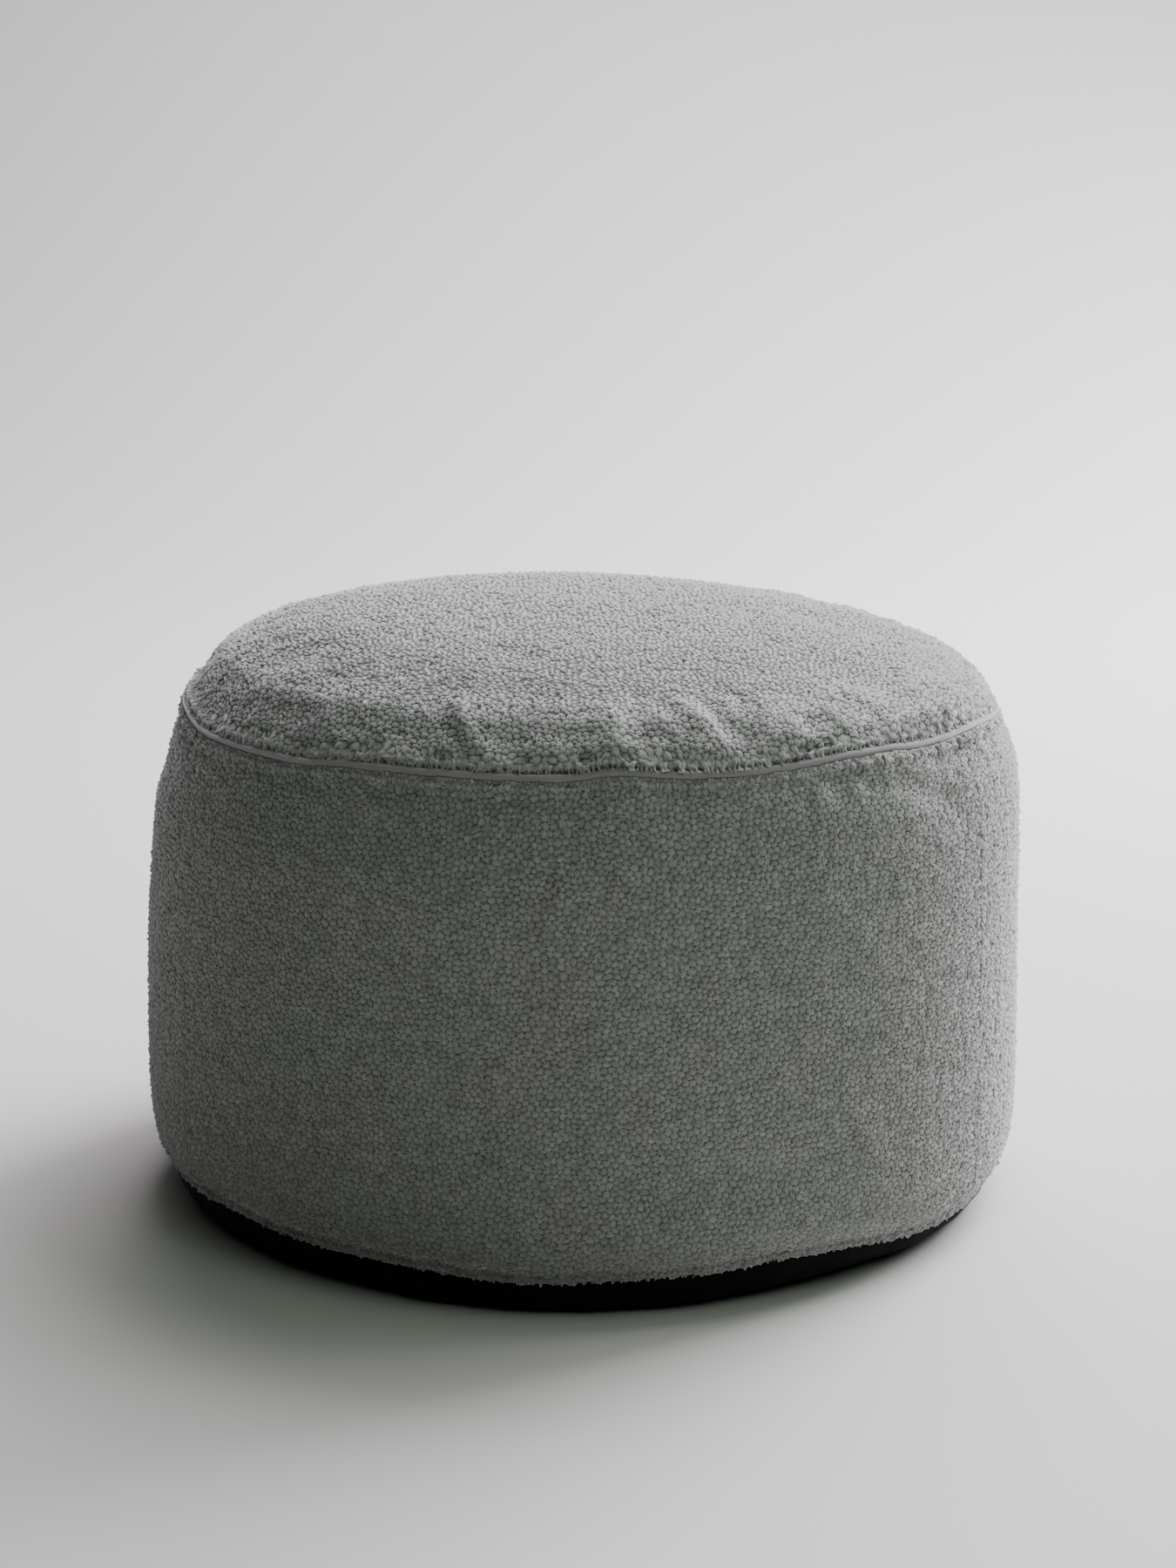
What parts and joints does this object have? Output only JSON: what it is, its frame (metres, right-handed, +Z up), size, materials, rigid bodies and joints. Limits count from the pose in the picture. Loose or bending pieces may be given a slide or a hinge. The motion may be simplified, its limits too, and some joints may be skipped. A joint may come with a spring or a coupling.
{
  "type": "bean bag footstool",
  "caption": "Round bean bag footstool in curly pile cloth, with a corded seam round its crowned top and a smooth black base cloth.",
  "frame": {"origin": "middle of the footprint, on the plane the foot rests on", "axes": "+Z up, front towards -Y, the fuller side towards +X"},
  "size_m": [0.5027, 0.5023, 0.336],
  "materials": {
    "pile_cloth": "mid-grey curly short pile, matt with tiny glints",
    "piping_cloth": "smooth grey plain cloth over a cord",
    "base_cloth": "smooth black plain cloth, matt"
  },
  "bodies": {
    "root": {"top_panel": "pile_cloth", "side_band": "pile_cloth", "piping": "piping_cloth", "base_panel": "base_cloth"}
  },
  "joints": []
}
